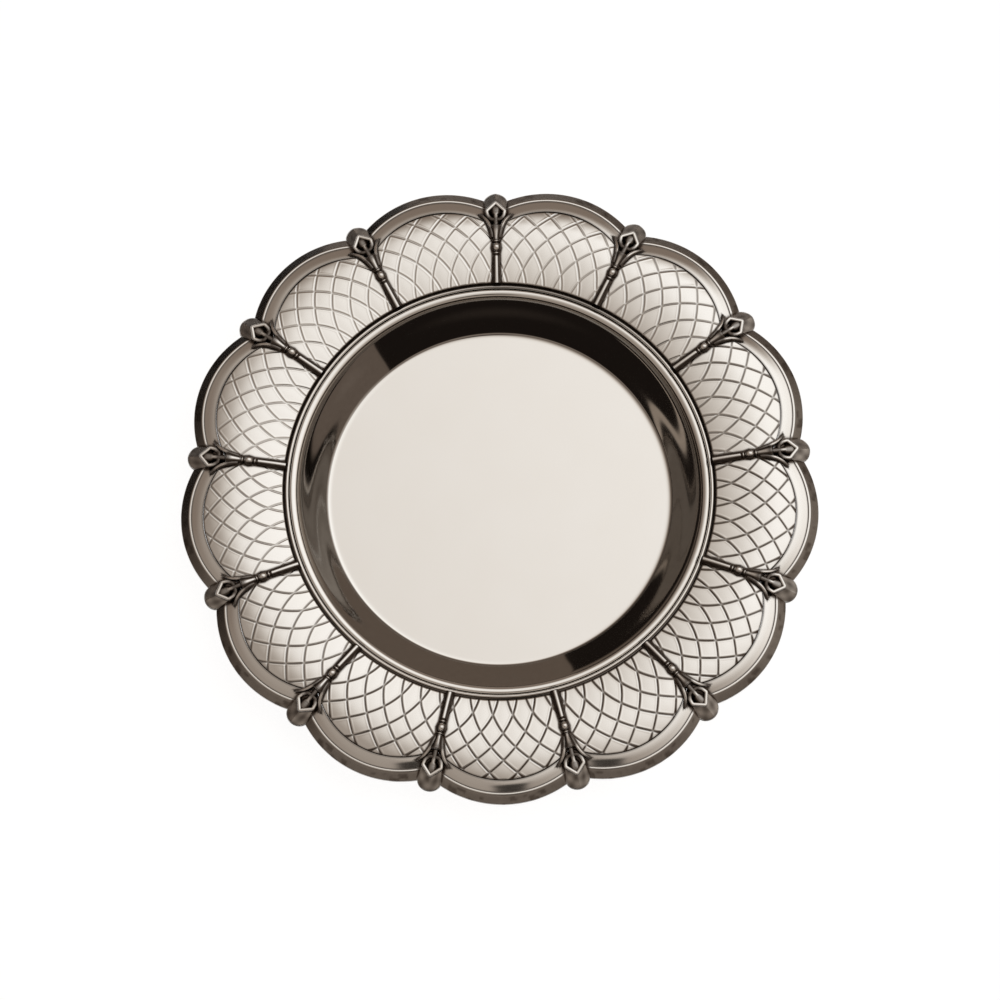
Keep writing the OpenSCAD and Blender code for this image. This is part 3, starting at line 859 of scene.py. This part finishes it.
ROOM_DARK = (0.0165, 0.0125, 0.0105, 1.0)
LIGHT_WHITE = (1.0, 0.986, 0.972, 1.0)
LIGHT_EDGE = (1.0, 0.94, 0.86, 1.0)

world = bpy.data.worlds.new("studio")
bpy.context.scene.world = world
world.use_nodes = True
sky = world.node_tree
sky_way = sky.nodes.new("ShaderNodeTexCoord").outputs["Generated"]


def lean_to(way):
    """Cosine of the angle between where the sky is looked at and a direction."""
    node = sky.nodes.new("ShaderNodeVectorMath")
    node.operation = "DOT_PRODUCT"
    feed(sky, node.inputs[0], sky_way)
    feed(sky, node.inputs[1], tuple(way))
    return node.outputs["Value"]


def along(way, low, high):
    """How far the sky lies along a direction: 0 at the low cosine, 1 at the high one, soft between."""
    return ramp(sky, lean_to(way), low, high, shape="SMOOTHSTEP")


def times(first, second):
    """Two shares of the sky multiplied, or a share and a number."""
    return reckon(sky, "MULTIPLY", first, second)


def dimmed(share, loss):
    """Brightness of the sky that loses a part of itself where the share is 1."""
    return reckon(sky, "ADD", times(share, -loss), 1.0)


# The room, from the back of the mix to the front: dark and brown sides, warm patches, the shelf.
room_share = reckon(sky, "MAXIMUM", along(UP, 0.27, 0.46), along(ROOM_SIDE, 0.279, 0.291))
room = blend(sky, room_share, ROOM_DARK, ROOM_BROWN)
mid_height = times(along(UP, 0.38, 0.52), along(UP, 0.8, 0.66))
front = times(mid_height, along(FRONT_HIGH, 0.5, 0.62))
right_mid = times(along(RIGHT_MID, 0.75, 0.95), along(UP, 0.16, 0.3))
warm_side = blend(sky, reckon(sky, "MAXIMUM", right_mid, times(front, FRONT_LEVEL)), room, ROOM_TAN)
shelf_high = times(along(UP, 0.095, 0.105), along(UP, 0.135, 0.125))
shelf = blend(sky, times(shelf_high, along(LEFT, 0.7, 0.8)), warm_side, SHELF_PALE)

# The studio light fades as the exponential of a power of the angle off its middle, and is cut off low
# down and behind.
off_light = reckon(sky, "ARCCOSINE", lean_to(LIGHT_FROM / np.linalg.norm(LIGHT_FROM)))
widths_off = reckon(sky, "DIVIDE", off_light, LIGHT_WIDTH)
soft_edge = reckon(sky, "EXPONENT", times(reckon(sky, "POWER", widths_off, LIGHT_EDGE_POWER), -1.0))
lamp_share = times(times(soft_edge, along(UP, 0.36, 0.62)), along(BACK, 0.74, 0.5))
light_share = reckon(sky, "MAXIMUM", lamp_share, times(along(UP, 0.7, 0.95), CEILING_LEVEL))
light_tint = blend(sky, light_share, LIGHT_EDGE, LIGHT_WHITE)
stand = dimmed(along(STAND_AT, 0.990, 0.997), STAND_DARK)
skirting = dimmed(times(along(UP, 0.105, 0.085), along(RIGHT, 0.85, 0.93)), SKIRTING_DARK)
background = sky.nodes["Background"]
feed(sky, background.inputs["Color"], blend(sky, light_share, shelf, light_tint))
feed(sky, background.inputs["Strength"], times(stand, skirting))

# The camera
# The photograph's own view: from about four fifths of a metre, well above the saucer and in front of it.
LENS = 138.57
SENSOR = 36.0
LENS_SHIFT = (0.0005, -0.0018)
CAMERA_AT = (-0.00286, -0.21305, 0.76217)
CAMERA_TO = (0.0, 0.0, 0.0007)

lens = bpy.data.cameras.new("photo_camera")
lens.lens = LENS
lens.sensor_width = SENSOR
lens.shift_x, lens.shift_y = LENS_SHIFT
lens.clip_start = 0.01
lens.clip_end = 20.0
camera = bpy.data.objects.new("photo_camera", lens)
camera.location = CAMERA_AT
camera.rotation_euler = (Vector(CAMERA_TO) - Vector(CAMERA_AT)).to_track_quat("-Z", "Y").to_euler()
bpy.context.scene.collection.objects.link(camera)
bpy.context.scene.camera = camera
bpy.context.scene.view_settings.view_transform = "Standard"
